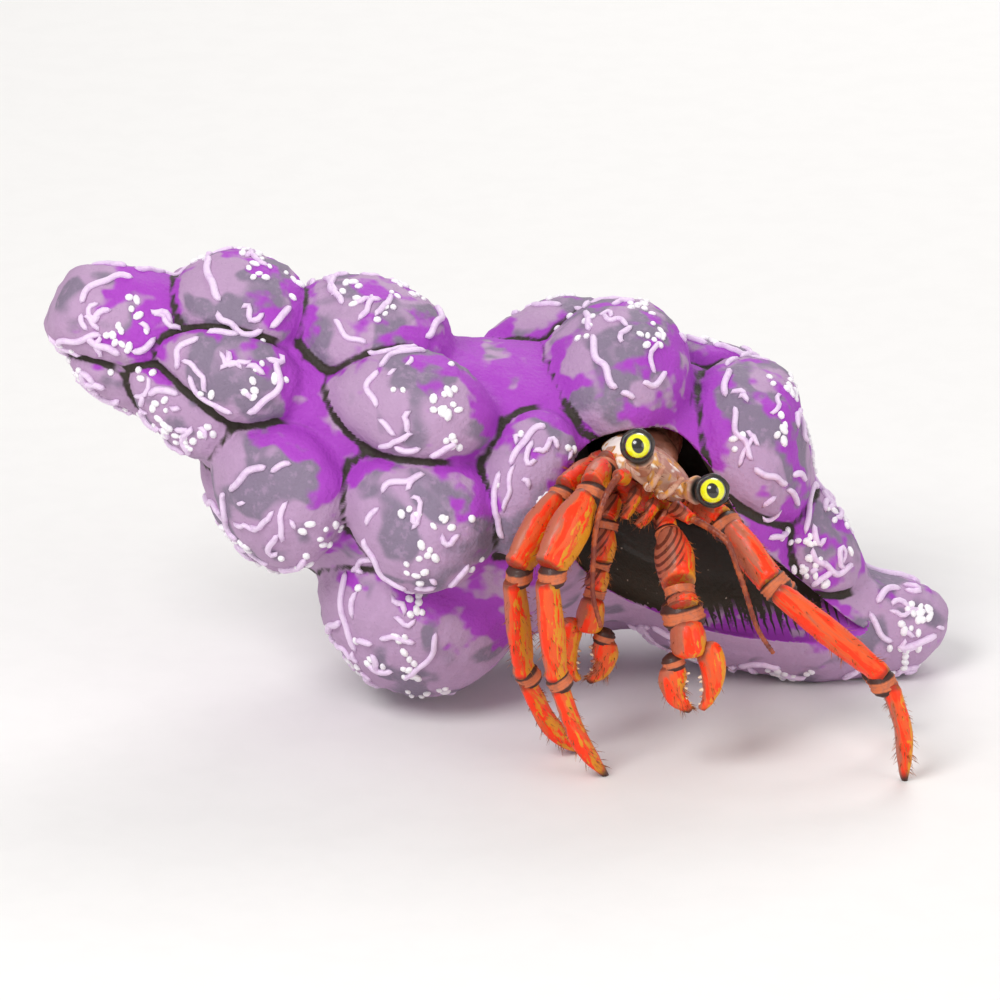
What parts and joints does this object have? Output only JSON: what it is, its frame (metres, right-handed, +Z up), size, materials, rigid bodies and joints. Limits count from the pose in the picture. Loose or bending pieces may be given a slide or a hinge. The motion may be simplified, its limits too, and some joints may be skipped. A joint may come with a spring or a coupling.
{
  "type": "hermit crab in a knobbed spindle shell",
  "caption": "Orange-red hermit crab leaning out of the mouth of a knobbed purple spindle-shaped sea shell, walking legs on the floor, claws hanging, as a life-size still display model.",
  "frame": {"origin": "middle of the bounding box at floor level, under the shell", "axes": "+Z up, the crab faces -Y, the shell's spire points to -X and its canal to +X"},
  "size_m": [0.1088, 0.0606, 0.0547],
  "materials": {
    "purple_crust": "rough limy crust in mauve, grey-mauve and vivid purple, with small white and pale pink raised marks",
    "orange_shell_plates": "satin crab shell, orange-red with amber streaks and brownish shading",
    "tan_shield": "satin crab shell, tan with cream and amber strokes",
    "yellow_eye": "glossy yellow cornea with a dark pupil",
    "soft_skin": "soft moist skin, pinkish"
  },
  "bodies": {
    "root": {"abdomen_front": "soft_skin", "abdomen_rear": "soft_skin", "antenna_base_left": "orange_shell_plates", "antenna_base_right": "orange_shell_plates", "antenna_left": "orange_shell_plates", "antenna_right": "orange_shell_plates", "antennule_left": "tan_shield", "antennule_right": "tan_shield", "carapace_rear": "soft_skin", "carapace_shield": "tan_shield", "cheliped_left_carpus": "orange_shell_plates", "cheliped_left_dactyl": "orange_shell_plates", "cheliped_left_ischium": "orange_shell_plates", "cheliped_left_merus": "orange_shell_plates", "cheliped_left_palm": "orange_shell_plates", "cheliped_right_carpus": "orange_shell_plates", "cheliped_right_dactyl": "orange_shell_plates", "cheliped_right_ischium": "orange_shell_plates", "cheliped_right_merus": "orange_shell_plates", "cheliped_right_palm": "orange_shell_plates", "eye_left": "yellow_eye", "eye_right": "yellow_eye", "eyestalk_left": "tan_shield", "eyestalk_right": "tan_shield", "hind_leg_left_lower": "soft_skin", "hind_leg_left_upper": "soft_skin", "hind_leg_right_lower": "soft_skin", "hind_leg_right_upper": "soft_skin", "leg_left_front_carpus": "orange_shell_plates", "leg_left_front_dactyl": "orange_shell_plates", "leg_left_front_ischium": "orange_shell_plates", "leg_left_front_merus": "orange_shell_plates", "leg_left_front_propodus": "orange_shell_plates", "leg_left_rear_carpus": "orange_shell_plates", "leg_left_rear_dactyl": "orange_shell_plates", "leg_left_rear_ischium": "orange_shell_plates", "leg_left_rear_merus": "orange_shell_plates", "leg_left_rear_propodus": "orange_shell_plates", "leg_right_front_carpus": "orange_shell_plates", "leg_right_front_dactyl": "orange_shell_plates", "leg_right_front_ischium": "orange_shell_plates", "leg_right_front_merus": "orange_shell_plates", "leg_right_front_propodus": "orange_shell_plates", "leg_right_rear_carpus": "orange_shell_plates", "leg_right_rear_dactyl": "orange_shell_plates", "leg_right_rear_ischium": "orange_shell_plates", "leg_right_rear_merus": "orange_shell_plates", "leg_right_rear_propodus": "orange_shell_plates", "maxilliped_left": "orange_shell_plates", "maxilliped_right": "orange_shell_plates", "shell": "purple_crust", "tail_fan": "soft_skin", "thorax": "orange_shell_plates"}
  },
  "joints": []
}
